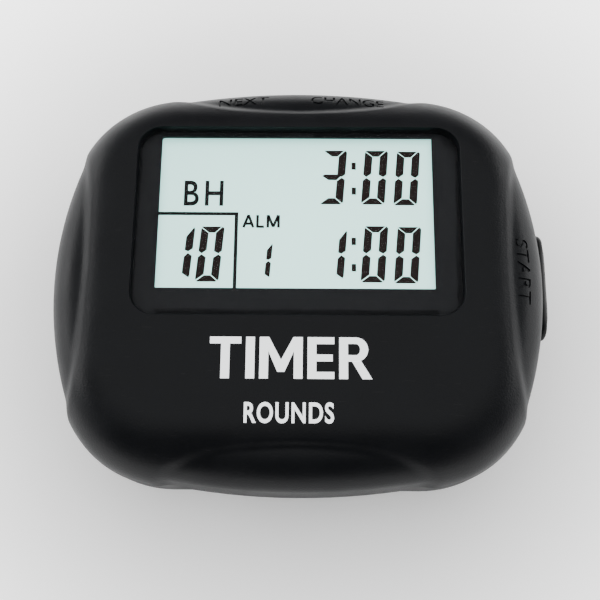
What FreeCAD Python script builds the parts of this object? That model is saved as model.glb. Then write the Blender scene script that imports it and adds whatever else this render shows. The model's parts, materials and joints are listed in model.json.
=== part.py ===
"""Gym round timer with a belt clip, as separate pieces.

Frame: origin on the outer face of the belt clip, the face the timer lies on.
+X is to the wearer's right across the display, +Y towards the top edge with its
two buttons, and +Z out of the display. Lengths are in millimetres.
"""
import FreeCAD, Part
import math
import os
import re
import Sketcher

Vector = FreeCAD.Vector
Rotation = FreeCAD.Rotation
Placement = FreeCAD.Placement

doc = FreeCAD.newDocument("round_timer")
sheet = doc.addObject("Spreadsheet::Sheet", "dim")

DIMENSIONS = [
    ("back_z", 6.8, "flat back of the case"),
    ("split_z", 14.8, "joint between the two case halves"),
    ("corner_x", 31.5, "half width of the case body through its corners"),
    ("corner_y", 27.45, "half height of the case body through its corners"),
    ("corner_r", 15.2, "corner radius of the case body in plan"),
    ("crown_up", 8.8, "front plateau above the case joint"),
    ("crown_fillet", 7.55, "rounding of the four front corners"),
    ("side_x", 33.0, "half width of the case across its waist"),
    ("side_y", 28.5, "half height of the case across its waist"),
    ("side_bow_x", 51.5, "radius of the left and right outlines"),
    ("side_bow_y", 92.6, "radius of the top and bottom outlines"),
    ("side_corner_r", 13.0, "corner radius of the bowed outline"),
    ("side_up", 7.3, "top of the bowed sides above the case joint"),
    ("side_fillet", 5.1, "rounding of the bowed sides"),
    ("panel_x", 27.75, "half width of the front plateau"),
    ("panel_y", 22.85, "half height of the front plateau"),
    ("panel_flat_x", 13.2, "half length of the plateau's straight top edge"),
    ("panel_flat_y", 13.4, "half length of the plateau's straight side edge"),
    ("panel_splay_x", 0.222, "outward slope of the side panels past their straight edge"),
    ("panel_splay_y", 0.586, "outward slope of the top and bottom panels past theirs"),
    ("panel_draft", 6.84, "draft of the plateau's walls, degrees"),
    ("wall", 1.6, "case wall"),
    ("floor_wall", 1.5, "wall of the flat back"),
    ("seam_step", 0.5, "step in of the rear half at the case joint"),
    ("back_fillet", 4.5, "rounding of the back edge"),
    ("lens_x", 21.6, "half width of the display window"),
    ("lens_low_y", -6.45, "lower edge of the display window"),
    ("lens_high_y", 20.3, "upper edge of the display window"),
    ("lens_corner_r", 3.1, "corner radius of the display window"),
    ("lens_gap", 0.18, "gap around the display window"),
    ("lens_thick", 1.45, "thickness of the display window"),
    ("print_thick", 0.1, "black border printed behind the window"),
    ("tape_thick", 0.15, "adhesive behind the window"),
    ("view_x", 18.5, "half width of the clear view"),
    ("view_low_y", -2.5, "lower edge of the clear view"),
    ("view_high_y", 19.7, "upper edge of the clear view"),
    ("ledge_thick", 0.75, "ledge under the window"),
    ("glass_x", 21.0, "half width of the display glass"),
    ("glass_low_y", -6.5, "lower edge of the front display glass"),
    ("glass_rear_low_y", -3.6, "lower edge of the rear display glass"),
    ("glass_high_y", 20.7, "upper edge of the display glass"),
    ("glass_thick", 0.7, "one display glass"),
    ("film_thick", 0.2, "one display film"),
    ("frame_wall", 0.5, "wall of the display frame"),
    ("board_z", 12.2, "underside of the main board"),
    ("board_thick", 1.0, "main board"),
    ("board_x", 27.5, "half width of the main board"),
    ("board_right_x", 28.6, "right edge of the main board at its switch"),
    ("board_low_y", -7.6, "lower edge of the main board"),
    ("board_high_y", 24.2, "upper edge of the main board"),
    ("post_x", 24.7, "board screws, across"),
    ("post_low_y", -3.6, "lower board screws"),
    ("post_high_y", 10.2, "upper board screws"),
    ("post_r", 1.6, "board post"),
    ("case_screw_x", 26.2, "upper case screws, across"),
    ("case_screw_y", 17.2, "upper case screws"),
    ("case_screw_low_x", 22.5, "lower case screws, across"),
    ("case_screw_low_y", -21.9, "lower case screws"),
    ("boss_r", 2.2, "case screw boss"),
    ("screw_r", 0.95, "case screw thread"),
    ("screw_head_r", 1.75, "case screw head"),
    ("button_z", 14.3, "centre height of the three buttons"),
    ("button_high", 4.0, "height of the top buttons"),
    ("start_high", 4.8, "height of the start button"),
    ("start_half", 7.6, "half length of the start button"),
    ("start_y", 0.7, "centre of the start button"),
    ("start_face_x", 34.1, "outer face of the start button"),
    ("next_x", -7.8, "centre of the next button"),
    ("change_x", 6.7, "centre of the change button"),
    ("top_half", 4.8, "half length of the top buttons"),
    ("top_face_y", 29.15, "outer face of the top buttons"),
    ("button_gap", 0.2, "gap around a button in its opening"),
    ("start_back_x", 29.3, "inner face of the start button's flange"),
    ("top_back_y", 24.95, "inner face of the top buttons' flanges"),
    ("flange_lip", 0.8, "flange that keeps a button in the case"),
    ("flange_thick", 0.8, "thickness of that flange"),
    ("flange_room", 0.3, "clearance around a flange"),
    ("stop_room", 0.25, "clearance between a flange and the wall it stops on"),
    ("inner_room", 1.35, "room behind a flange for its travel"),
    ("button_rim", 0.7, "rounding of a button's face"),
    ("switch_half", 2.3, "half width of a push switch"),
    ("switch_high", 2.6, "height of a push switch"),
    ("switch_deep", 2.5, "depth of a push switch"),
    ("switch_back", 0.7, "gap from a switch to its button's flange"),
    ("plunger_half_x", 0.75, "half width of a switch plunger"),
    ("plunger_half_z", 0.55, "half height of a switch plunger"),
    ("plunger_slack", 0.1, "clearance around a plunger"),
    ("plunger_lift", 0.2, "plunger above the middle of its button"),
    ("battery_y", -13.5, "axis of the battery"),
    ("battery_z", 13.95, "axis height of the battery"),
    ("battery_r", 5.25, "AAA cell radius"),
    ("battery_left_x", -21.4, "negative end of the battery"),
    ("battery_long", 44.5, "AAA cell length"),
    ("tray_x", 24.5, "half length of the battery tray inside"),
    ("tray_low_y", -19.4, "lower wall of the battery tray"),
    ("tray_high_y", -7.7, "upper wall of the battery tray"),
    ("tray_wall", 1.2, "wall of the battery tray"),
    ("deck_z", 9.5, "top of the deck over the door rails"),
    ("door_x", 24.6, "half width of the battery door"),
    ("door_high_y", -5.7, "upper edge of the battery door"),
    ("door_thick", 1.4, "battery door"),
    ("rail_x", 25.8, "half width over the door's two tongues"),
    ("rail_thick", 0.6, "door tongue"),
    ("door_gap", 0.2, "gap around the battery door"),
    ("clip_x", 9.0, "half width of the belt clip"),
    ("clip_low_y", -20.0, "tip of the belt clip"),
    ("clip_high_y", 23.0, "thumb end of the belt clip"),
    ("clip_thick", 2.0, "belt clip plate"),
    ("clip_tip_z", 6.45, "top of the clip's tip, just clear of the case"),
    ("pivot_y", 14.0, "clip pin"),
    ("pivot_z", 4.5, "clip pin height"),
    ("pin_r", 0.8, "clip pin"),
    ("pin_clear", 0.06, "running clearance of the clip on its pin"),
    ("lug_r", 1.95, "clip lug around the pin"),
    ("ear_thick", 1.7, "case ear beside the clip"),
    ("ear_gap", 0.3, "gap between clip and ear"),
    ("buzzer_x", -13.0, "centre of the sounder, across"),
    ("buzzer_y", 5.0, "centre of the sounder"),
    ("buzzer_r", 10.0, "sounder disc"),
    ("motor_y", -23.1, "axis of the vibration motor"),
    ("motor_z", 13.6, "axis height of the vibration motor"),
    ("motor_r", 2.25, "vibration motor can"),
    ("motor_left_x", -6.0, "closed end of the motor can"),
    ("motor_long", 11.0, "motor can"),
    ("shaft_r", 0.4, "motor shaft"),
    ("wire_r", 0.45, "motor lead"),
    ("pilot_r", 0.8, "board screw thread"),
    ("sound_long", 6.6, "length of a sound slot"),
    ("sound_pitch", 2.4, "spacing of the sound slots"),
    ("sound_wide", 1.0, "width of a sound slot"),
    ("grip_long", 14.0, "length of a finger groove in the door"),
    ("grip_first_y", -24.4, "lowest finger groove in the door"),
    ("grip_pitch", 1.3, "spacing of the door's finger grooves"),
    ("grip_wide", 0.6, "width of a finger groove in the door"),
    ("groove_long", 13.0, "length of a thumb groove in the clip"),
    ("groove_first_y", 16.6, "lowest thumb groove in the clip"),
    ("groove_pitch", 1.5, "spacing of the clip's thumb grooves"),
    ("groove_wide", 0.7, "width of a thumb groove in the clip"),
    ("groove_deep", 0.4, "depth of a thumb groove in the clip"),
    ("weight_r", 2.1, "eccentric weight"),
    ("weight_long", 3.6, "length of the eccentric weight"),
    ("contact_half", 4.3, "half width of a battery contact plate"),
    ("contact_thick", 0.3, "battery contact plate"),
]

for row, (alias, amount, meaning) in enumerate(DIMENSIONS, start=1):
    sheet.set(f"A{row}", meaning)
    sheet.set(f"B{row}", str(amount))
    sheet.setAlias(f"B{row}", alias)
doc.recompute()

CELLS = {alias for alias, _, _ in DIMENSIONS}
NODES = {}


def formula(text):
    """Expression with each cell's name written as the sheet's own."""
    return re.sub(r"[a-z_]+", lambda w: f"dim.{w[0]}" if w[0] in CELLS else w[0], str(text))


probe = doc.addObject("App::FeaturePython", "probe")
probe.addProperty("App::PropertyFloat", "Reading")


def value(text):
    """Number that an expression over the cells gives, read off a bound property."""
    probe.setExpression("Reading", formula(text))
    probe.recompute()
    return float(probe.Reading)


def bind(thing, **properties):
    """Tie properties to expressions; a double underscore stands for a dot."""
    for path, text in properties.items():
        thing.setExpression(path.replace("__", "."), formula(text))


def locate(thing, x="0", y="0", z="0", turn=None):
    """Place an object at expressions, after an optional rotation."""
    if turn:
        thing.Placement = Placement(Vector(), turn)
    bind(thing, Placement__Base__x=x, Placement__Base__y=y, Placement__Base__z=z)
    return thing


def node(name, thing):
    """Name a finished piece."""
    thing.Label = name
    NODES[name] = thing
    return thing


# ---- primitives and booleans -------------------------------------------------

def box(name, x, y, z):
    """Block between a low and a high expression on each axis."""
    block = doc.addObject("Part::Box", name)
    bind(block, Length=f"( {x[1]} ) - ( {x[0]} )", Width=f"( {y[1]} ) - ( {y[0]} )",
         Height=f"( {z[1]} ) - ( {z[0]} )")
    return locate(block, x[0], y[0], z[0])


AXIS_TURN = {
    "x": Rotation(Vector(0, 0, 1), Vector(1, 0, 0)),
    "y": Rotation(Vector(0, 0, 1), Vector(0, 1, 0)),
    "z": Rotation(),
}


def rod(name, axis, radius, length, x="0", y="0", z="0"):
    """Round bar that starts at a point and runs along an axis."""
    bar = doc.addObject("Part::Cylinder", name)
    bind(bar, Radius=radius, Height=length)
    return locate(bar, x, y, z, AXIS_TURN[axis])


def cut(name, base, *tools):
    """Base less each tool in turn."""
    for index, tool in enumerate(tools):
        step = doc.addObject("Part::Cut", f"{name}_cut{index}")
        step.Base = base
        step.Tool = tool
        base = step
    return base


def fuse(name, *shapes):
    """All shapes as one solid."""
    union = doc.addObject("Part::MultiFuse", name + "_fuse")
    union.Shapes = list(shapes)
    union.Refine = True
    return union


def common(name, *shapes):
    """What all shapes share."""
    shared = doc.addObject("Part::MultiCommon", name + "_common")
    shared.Shapes = list(shapes)
    return shared


def group(name, pieces):
    """Separate solids that share one node."""
    pack = doc.addObject("Part::Compound", name + "_group")
    pack.Links = list(pieces)
    return pack


# ---- bodies ------------------------------------------------------------------

def plane_of(body, role):
    """One of a body's own origin planes."""
    return next(f for f in body.Origin.OriginFeatures if f.Role == role)


def edges_where(shape, test):
    """Names of the edges for which the test holds at both ends and the middle."""
    names = []
    for index, edge in enumerate(shape.Edges, start=1):
        first, last = edge.ParameterRange
        points = [edge.valueAt(t) for t in (first, (first + last) / 2, last)]
        if test(points):
            names.append(f"Edge{index}")
    return names


def along(axis):
    """Test for edges that run along an axis."""
    others = [a for a in "xyz" if a != axis]
    return lambda pts: all(abs(getattr(pts[0], a) - getattr(pts[-1], a)) < 1e-6 for a in others)


def at_height(axis, height):
    """Test for edges that lie at one height."""
    return lambda pts: all(abs(getattr(p, axis) - height) < 1e-5 for p in pts)


def round_edges(body, feature, test, radius):
    """Fillet on the edges that pass the test."""
    doc.recompute()
    fillet = body.newObject("PartDesign::Fillet", body.Name + "_round")
    fillet.Base = (feature, edges_where(feature.Shape, test))
    bind(fillet, Radius=radius)
    doc.recompute()
    return fillet


def rounded_block(name, x, y, z, radius, axis="z", rims=()):
    """Block whose edges along an axis are rounded, and its low or high rims too."""
    body = doc.addObject("PartDesign::Body", name)
    block = body.newObject("PartDesign::AdditiveBox", name + "_block")
    bind(block, Length=f"( {x[1]} ) - ( {x[0]} )", Width=f"( {y[1]} ) - ( {y[0]} )",
         Height=f"( {z[1]} ) - ( {z[0]} )")
    feature = round_edges(body, block, along(axis), radius)
    size = {"x": block.Length.Value, "y": block.Width.Value, "z": block.Height.Value}[axis]
    for end, rim_radius in rims:
        level = size if end == "high" else 0
        feature = round_edges(body, feature, at_height(axis, level), rim_radius)
    return locate(body, x[0], y[0], z[0])


def puck(name, radius, height, rim, x, y, z, turn=None, end="high"):
    """Short round block with one rounded rim."""
    body = doc.addObject("PartDesign::Body", name)
    disc = body.newObject("PartDesign::AdditiveCylinder", name + "_disc")
    bind(disc, Radius=radius, Height=height)
    doc.recompute()
    level = disc.Height.Value if end == "high" else 0
    round_edges(body, disc, at_height("z", level), rim)
    return locate(body, x, y, z, turn)


def polygon_body(name, role, points, depth, lift="0", taper=0, reverse=False, midplane=False):
    """Pad of a closed polygon whose corners are pairs of expressions."""
    body = doc.addObject("PartDesign::Body", name)
    sketch = body.newObject("Sketcher::SketchObject", name + "_sketch")
    sketch.AttachmentSupport = [(plane_of(body, role), "")]
    sketch.MapMode = "FlatFace"
    bind(sketch, AttachmentOffset__Base__z=lift)
    corners = [Vector(value(a), value(b), 0) for a, b in points]
    for index, corner in enumerate(corners):
        sketch.addGeometry(Part.LineSegment(corner, corners[(index + 1) % len(corners)]), False)
    for index, (a, b) in enumerate(points):
        following = (index + 1) % len(points)
        sketch.addConstraint(Sketcher.Constraint("Coincident", index, 2, following, 1))
        across = sketch.addConstraint(
            Sketcher.Constraint("DistanceX", -1, 1, index, 1, corners[index].x))
        sketch.setExpression(f"Constraints[{across}]", formula(a))
        up = sketch.addConstraint(
            Sketcher.Constraint("DistanceY", -1, 1, index, 1, corners[index].y))
        sketch.setExpression(f"Constraints[{up}]", formula(b))
    doc.recompute()
    pad = body.newObject("PartDesign::Pad", name + "_pad")
    pad.Profile = sketch
    pad.Reversed = reverse
    pad.Midplane = midplane
    bind(pad, Length=depth)
    if taper:
        bind(pad, TaperAngle=taper)
    doc.recompute()
    return body


def coil(name, mean_r, wire, pitch, height, x, y, z, turn=None, cone=0):
    """Wire spring: a helix about the body's own Z axis."""
    body = doc.addObject("PartDesign::Body", name)
    sketch = body.newObject("Sketcher::SketchObject", name + "_sketch")
    sketch.AttachmentSupport = [(plane_of(body, "XZ_Plane"), "")]
    sketch.MapMode = "FlatFace"
    sketch.addGeometry(Part.Circle(Vector(mean_r, 0, 0), Vector(0, 0, 1), wire), False)
    sketch.addConstraint(Sketcher.Constraint("Radius", 0, wire))
    sketch.addConstraint(Sketcher.Constraint("DistanceX", -1, 1, 0, 3, mean_r))
    sketch.addConstraint(Sketcher.Constraint("PointOnObject", 0, 3, -1))
    doc.recompute()
    helix = body.newObject("PartDesign::AdditiveHelix", name + "_helix")
    helix.Profile = sketch
    helix.ReferenceAxis = (sketch, ["V_Axis"])
    helix.Mode = 0
    helix.Pitch = pitch
    helix.Height = height
    helix.Angle = cone
    doc.recompute()
    return locate(body, x, y, z, turn)


def tube_path(name, radius, points):
    """Thin lead: straight runs joined by arcs as large as the runs allow."""
    knots = [Vector(*p) for p in points]
    edges = []
    start = knots[0]
    for before, corner, after in zip(knots, knots[1:], knots[2:]):
        back = (before - corner).normalize()
        ahead = (after - corner).normalize()
        reach = 0.45 * min((before - corner).Length, (after - corner).Length)
        tangent_in = corner + back * reach
        tangent_out = corner + ahead * reach
        half = back.getAngle(ahead) / 2
        arc_r = reach * math.tan(half)
        centre = corner + (back + ahead).normalize() * (reach / math.cos(half))
        middle = centre + (corner - centre).normalize() * arc_r
        edges.append(Part.LineSegment(start, tangent_in).toShape())
        edges.append(Part.Arc(tangent_in, middle, tangent_out).toShape())
        start = tangent_out
    edges.append(Part.LineSegment(start, knots[-1]).toShape())
    spine = Part.Wire(edges)
    heading = (knots[1] - knots[0]).normalize()
    ring = Part.Wire(Part.makeCircle(radius, knots[0], heading))
    lead = doc.addObject("Part::Feature", name)
    lead.Shape = spine.makePipeShell([ring], True, False)
    lead.Placement = Placement()
    return lead


# ---- case shapes -------------------------------------------------------------

def bowed_outline(name, inset, depth, lift, reverse, rim_radius):
    """Pad of the four-arc waist outline with rounded corners and one rounded rim."""
    body = doc.addObject("PartDesign::Body", name)
    sketch = body.newObject("Sketcher::SketchObject", name + "_sketch")
    sketch.AttachmentSupport = [(plane_of(body, "XY_Plane"), "")]
    sketch.MapMode = "FlatFace"
    bind(sketch, AttachmentOffset__Base__z=lift)
    half_x = value(f"side_x - {inset}")
    half_y = value(f"side_y - {inset}")
    bow_x = value(f"side_bow_x - {inset}")
    bow_y = value(f"side_bow_y - {inset}")
    # corner where the right and the top arcs cross
    gap = Vector(half_x - bow_x, -(half_y - bow_y), 0)
    span = gap.Length
    share = (span ** 2 + bow_x ** 2 - bow_y ** 2) / (2 * span)
    rise = math.sqrt(bow_x ** 2 - share ** 2)
    right_centre = Vector(half_x - bow_x, 0, 0)
    top_centre = Vector(0, half_y - bow_y, 0)
    lean = (top_centre - right_centre).normalize()
    corner = right_centre + lean * share + Vector(-lean.y, lean.x, 0) * rise
    corner = Vector(abs(corner.x), abs(corner.y), 0)
    turn_x = math.atan2(corner.y, corner.x - right_centre.x)
    turn_y = math.atan2(corner.y - top_centre.y, corner.x)
    quarter = math.pi / 2
    arcs = [
        (right_centre, bow_x, -turn_x, turn_x, "x"),
        (top_centre, bow_y, turn_y, 2 * quarter - turn_y, "y"),
        (right_centre * -1, bow_x, 2 * quarter - turn_x, 2 * quarter + turn_x, "x"),
        (top_centre * -1, bow_y, 2 * quarter + turn_y, 4 * quarter - turn_y, "y"),
    ]
    normal = Vector(0, 0, 1)
    for centre, radius, first, last, _ in arcs:
        sketch.addGeometry(Part.ArcOfCircle(Part.Circle(centre, normal, radius), first, last), False)
    for index, (centre, radius, _, _, way) in enumerate(arcs):
        sketch.addConstraint(Sketcher.Constraint("Coincident", index, 2, (index + 1) % 4, 1))
        size = sketch.addConstraint(Sketcher.Constraint("Radius", index, radius))
        sketch.setExpression(f"Constraints[{size}]", formula(f"side_bow_{way} - {inset}"))
        sign = "" if index < 2 else "-1 *"
        axis_line, offset = (-1, centre.x) if way == "x" else (-2, centre.y)
        sketch.addConstraint(Sketcher.Constraint("PointOnObject", index, 3, axis_line))
        place = sketch.addConstraint(
            Sketcher.Constraint("Distance" + way.upper(), -1, 1, index, 3, offset))
        sketch.setExpression(f"Constraints[{place}]", formula(f"{sign} ( side_{way} - side_bow_{way} )"))
    doc.recompute()
    pad = body.newObject("PartDesign::Pad", name + "_pad")
    pad.Profile = sketch
    pad.Reversed = reverse
    bind(pad, Length=depth)
    feature = round_edges(body, pad, along("z"), f"side_corner_r - {inset}")
    level = value(f"{lift} - ( {depth} )") if reverse else value(f"{lift} + {depth}")
    round_edges(body, feature, at_height("z", level), rim_radius)
    return body


def panel_cutter(name, inset, way, turn_degrees):
    """Tool that leaves one drafted wall of the plateau, with splayed ends."""
    other = "y" if way == "x" else "x"
    lift = 1.0
    edge = f"panel_{way} - {inset} - {lift} * tan( panel_draft )"
    flat = f"panel_flat_{other}"
    run = 24
    flare = f"{edge} + panel_splay_{way} * {run}"
    far = 46
    outline = [(edge, f"-1 * {flat}"), (edge, flat), (flare, f"{flat} + {run}"),
               (far, f"{flat} + {run}"), (far, f"-1 * ( {flat} + {run} )"),
               (flare, f"-1 * ( {flat} + {run} )")]
    tool = polygon_body(name, "XY_Plane", outline, f"crown_up + {lift} + 2",
                        lift=f"split_z + crown_up - {inset} + {lift}",
                        taper="-1 * panel_draft", reverse=True)
    tool.Placement = Placement(Vector(), Rotation(Vector(0, 0, 1), turn_degrees))
    return tool


def front_form(name, inset):
    """Solid bounded by the front half's surface, drawn in by an inset."""
    crown = rounded_block(
        name + "_crown", (f"-1 * ( corner_x - {inset} )", f"corner_x - {inset}"),
        (f"-1 * ( corner_y - {inset} )", f"corner_y - {inset}"),
        ("split_z", f"split_z + crown_up - {inset}"), f"corner_r - {inset}",
        rims=[("high", f"crown_fillet - {inset}")])
    cutters = [panel_cutter(f"{name}_panel{index}", inset, way, degrees)
               for index, (way, degrees) in enumerate((("x", 0), ("y", 90), ("x", 180), ("y", 270)))]
    sides = bowed_outline(name + "_sides", inset, f"side_up - {inset}", "split_z", False,
                          f"side_fillet - {inset}")
    return fuse(name, cut(name, crown, *cutters), sides)


def rear_form(name, inset, floor_z):
    """Solid bounded by the rear half's surface, drawn in by an inset."""
    block = rounded_block(
        name + "_block", (f"-1 * ( corner_x - {inset} )", f"corner_x - {inset}"),
        (f"-1 * ( corner_y - {inset} )", f"corner_y - {inset}"), (floor_z, "split_z"),
        f"corner_r - {inset}", rims=[("low", f"back_fillet - {inset} + seam_step")])
    sides = bowed_outline(name + "_sides", inset, f"split_z - ( {floor_z} )", "split_z", True,
                          f"back_fillet - {inset} + seam_step")
    return fuse(name, block, sides)


# ---- buttons -----------------------------------------------------------------

BOARD_TOP = "board_z + board_thick"


def pill(name, axis, along_range, centre, half, high, grow="0", rim="0"):
    """Pill-shaped bar along X or Y; its long side runs along the other of the two."""
    side = (f"{centre} - {half} - ( {grow} )", f"{centre} + {half} + {grow}")
    up = (f"button_z - {high} / 2 - ( {grow} )", f"button_z + {high} / 2 + {grow}")
    x, y = (along_range, side) if axis == "x" else (side, along_range)
    rims = [] if rim == "0" else [("high", rim)]
    return rounded_block(name, x, y, up, f"{high} / 2 + {grow} - 0.05", axis=axis, rims=rims)


def make_button(name, axis, centre, half, high, face, back):
    """Button with a retaining flange and a stem onto its switch."""
    cap = pill(name + "_cap", axis, (f"{back} + flange_thick / 2", face), centre, half, high,
               rim="button_rim")
    flange = pill(name + "_flange", axis, (back, f"{back} + flange_thick"), centre, half, high,
                  grow="flange_lip")
    return node(name, fuse(name, cap, flange))


def around(middle, half):
    """Low and high expression about a middle."""
    return (f"{middle} - ( {half} )", f"{middle} + {half}")


def make_switch(name, axis, centre, back):
    """Side-acting switch body with a guide hole, and its plunger up to the button."""
    far = f"{back} - switch_back"
    near = f"{far} - switch_deep"
    lead_offset = 1.5
    lead_size = 0.3

    def oriented(label, along_axis, across, upward):
        x, y = (along_axis, across) if axis == "x" else (across, along_axis)
        return box(label, x, y, upward)

    body = oriented(name + "_block", (near, far), around(centre, "switch_half"),
                    (BOARD_TOP, f"{BOARD_TOP} + switch_high"))
    hole = oriented(name + "_hole", (f"{far} - 1.9", f"{far} + 0.5"),
                    around(centre, "plunger_half_x + plunger_slack"),
                    around("button_z + plunger_lift", "plunger_half_z + plunger_slack"))
    leads = [oriented(f"{name}_lead{index}", (f"{near} - {lead_size}", near),
                      around(f"{centre} + {side * lead_offset}", lead_size),
                      (BOARD_TOP, f"{BOARD_TOP} + {lead_size}"))
             for index, side in enumerate((-1, 1))]
    node(name, fuse(name, cut(name, body, hole), *leads))
    node(name.replace("switch", "plunger"),
         oriented(name + "_plunger", (f"{far} - 1.2", back), around(centre, "plunger_half_x"),
                  around("button_z + plunger_lift", "plunger_half_z")))


BUTTONS = [
    ("start", "x", "start_y", "start_half", "start_high", "start_face_x", "start_back_x"),
    ("next", "y", "next_x", "top_half", "button_high", "top_face_y", "top_back_y"),
    ("change", "y", "change_x", "top_half", "button_high", "top_face_y", "top_back_y"),
]

for label, axis, centre, half, high, face, back in BUTTONS:
    make_button(label + "_button", axis, centre, half, high, face, back)
    make_switch(label + "_switch", axis, centre, back)


def button_openings(name):
    """Tools that open the case around the three buttons."""
    tools = []
    for label, axis, centre, half, high, face, back in BUTTONS:
        tools.append(pill(f"{name}_{label}", axis, (f"{back} - inner_room", f"{face} + 2"), centre,
                          half, high, grow="button_gap"))
    return tools


def flange_pockets(name):
    """Tools that clear the buttons' flanges and their travel inside the wall."""
    tools = []
    for label, axis, centre, half, high, _, back in BUTTONS:
        room = (f"{back} - inner_room", f"{back} + flange_thick + stop_room")
        tools.append(pill(f"{name}_{label}_flange", axis, room, centre, half, high,
                          grow="flange_lip + flange_room"))
    return tools


# ---- front half --------------------------------------------------------------

CASE_SCREWS = [(f"{sx} * case_screw_x", "case_screw_y") for sx in (-1, 1)]
CASE_SCREWS += [(f"{sx} * case_screw_low_x", "case_screw_low_y") for sx in (-1, 1)]
BOARD_SCREWS = [(f"{sx} * post_x", py) for sx in (-1, 1) for py in ("post_low_y", "post_high_y")]
PLATEAU = "split_z + crown_up"
RECESS = "split_z + crown_up - 0.05 - lens_thick - print_thick - tape_thick"
LEDGE = f"{RECESS} - ledge_thick"


def make_front_case():
    """Front half: hollow form with window recess, screw bosses and button openings."""
    outer = front_form("front_outer", "0")
    inner = front_form("front_inner", "wall")
    limit = front_form("front_limit", "0.8")
    shell = cut("front_shell", outer, inner)
    ledge = rounded_block("front_ledge", ("-1 * ( lens_x + 1.8 )", "lens_x + 1.8"),
                          ("lens_low_y - 1.6", "lens_high_y + 1.2"), (LEDGE, f"{RECESS} + 0.5"), "5")
    bosses = [rod(f"front_boss{index}", "z", "boss_r", "crown_up", x, y, "split_z")
              for index, (x, y) in enumerate(CASE_SCREWS)]
    posts = [rod(f"front_post{index}", "z", "post_r", f"{PLATEAU} - ( {BOARD_TOP} ) - 1", x, y,
                 BOARD_TOP) for index, (x, y) in enumerate(BOARD_SCREWS)]
    kept_bosses = common("front_bosses", fuse("front_boss_set", *bosses), limit)
    solid = fuse("front_solid", shell, ledge, kept_bosses, *posts)
    view_gap = 0.35
    recess = rounded_block(
        "front_recess", ("-1 * ( lens_x + lens_gap )", "lens_x + lens_gap"),
        ("lens_low_y - lens_gap", "lens_high_y + lens_gap"), (RECESS, f"{PLATEAU} + 2"),
        "lens_corner_r + lens_gap")
    view = box("front_view", (f"-1 * ( view_x + {view_gap} )", f"view_x + {view_gap}"),
               (f"view_low_y - {view_gap}", f"view_high_y + {view_gap}"),
               (f"{LEDGE} - 2", f"{RECESS} + 1"))
    pilots = [rod(f"front_pilot{index}", "z", "screw_r", "5.6", x, y, "split_z - 1")
              for index, (x, y) in enumerate(CASE_SCREWS)]
    pilots += [rod(f"front_board_pilot{index}", "z", "pilot_r", "5", x, y, f"{BOARD_TOP} - 1")
               for index, (x, y) in enumerate(BOARD_SCREWS)]
    tools = [recess, view] + pilots + button_openings("front") + flange_pockets("front")
    node("front_case", cut("front_case", solid, *tools))


# ---- window and display ------------------------------------------------------

def window_layer(name, low, thick, view_grow=None):
    """Layer with the window's outline, open over the view if a margin is given."""
    layer = rounded_block(name + "_layer", ("-1 * lens_x", "lens_x"),
                          ("lens_low_y", "lens_high_y"), (low, f"{low} + {thick}"), "lens_corner_r")
    if view_grow is not None:
        opening = box(name + "_view", (f"-1 * ( view_x + {view_grow} )", f"view_x + {view_grow}"),
                      (f"view_low_y - {view_grow}", f"view_high_y + {view_grow}"),
                      (f"{low} - 1", f"{low} + {thick} + 1"))
        layer = cut(name, layer, opening)
    return node(name, layer)


def make_display():
    """Window, its printed border and tape, and the liquid crystal display under it."""
    window_layer("window_adhesive", RECESS, "tape_thick", 0.3)
    window_layer("window_border", f"{RECESS} + tape_thick", "print_thick", 0)
    window_layer("display_window", f"{RECESS} + tape_thick + print_thick", "lens_thick")
    top = f"{LEDGE} - 0.15"
    glass = ("-1 * glass_x", "glass_x")
    layers = [
        ("lcd_front_film", "film_thick", "glass_rear_low_y"),
        ("lcd_front_glass", "glass_thick", "glass_low_y"),
        ("lcd_rear_glass", "glass_thick", "glass_rear_low_y"),
        ("lcd_reflector", "film_thick", "glass_rear_low_y"),
    ]
    for name, thick, low_y in layers:
        node(name, box(name, glass, (low_y, "glass_high_y"), (f"{top} - {thick}", top)))
        top = f"{top} - {thick}"
    rest = top
    gap = 0.1
    zebra_half = 19
    shoulder = 1.5
    outer = box("lcd_frame_outer", around("0", f"glass_x + {gap} + frame_wall + 0.7"),
                (f"glass_low_y - {gap} - frame_wall - 0.2", f"glass_high_y + {gap} + frame_wall"),
                (BOARD_TOP, f"{LEDGE} - 0.15"))
    pocket = box("lcd_frame_pocket", around("0", f"glass_x + {gap}"),
                 (f"glass_low_y - {gap}", f"glass_high_y + {gap}"), (rest, PLATEAU))
    core = box("lcd_frame_core", around("0", f"glass_x - {shoulder}"),
               ("glass_rear_low_y + 0.7", "glass_high_y - 0.8"), ("board_z", PLATEAU))
    slot = box("lcd_frame_slot", around("0", zebra_half + gap),
               ("glass_low_y", "glass_rear_low_y - 0.3"), ("board_z", PLATEAU))
    node("lcd_frame", cut("lcd_frame", outer, pocket, core, slot))
    node("zebra_strip", box("zebra_strip", around("0", zebra_half),
                            (f"glass_low_y + {gap}", "glass_rear_low_y - 0.4"),
                            (BOARD_TOP, f"{rest} + film_thick + glass_thick")))


# ---- board -------------------------------------------------------------------

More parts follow.
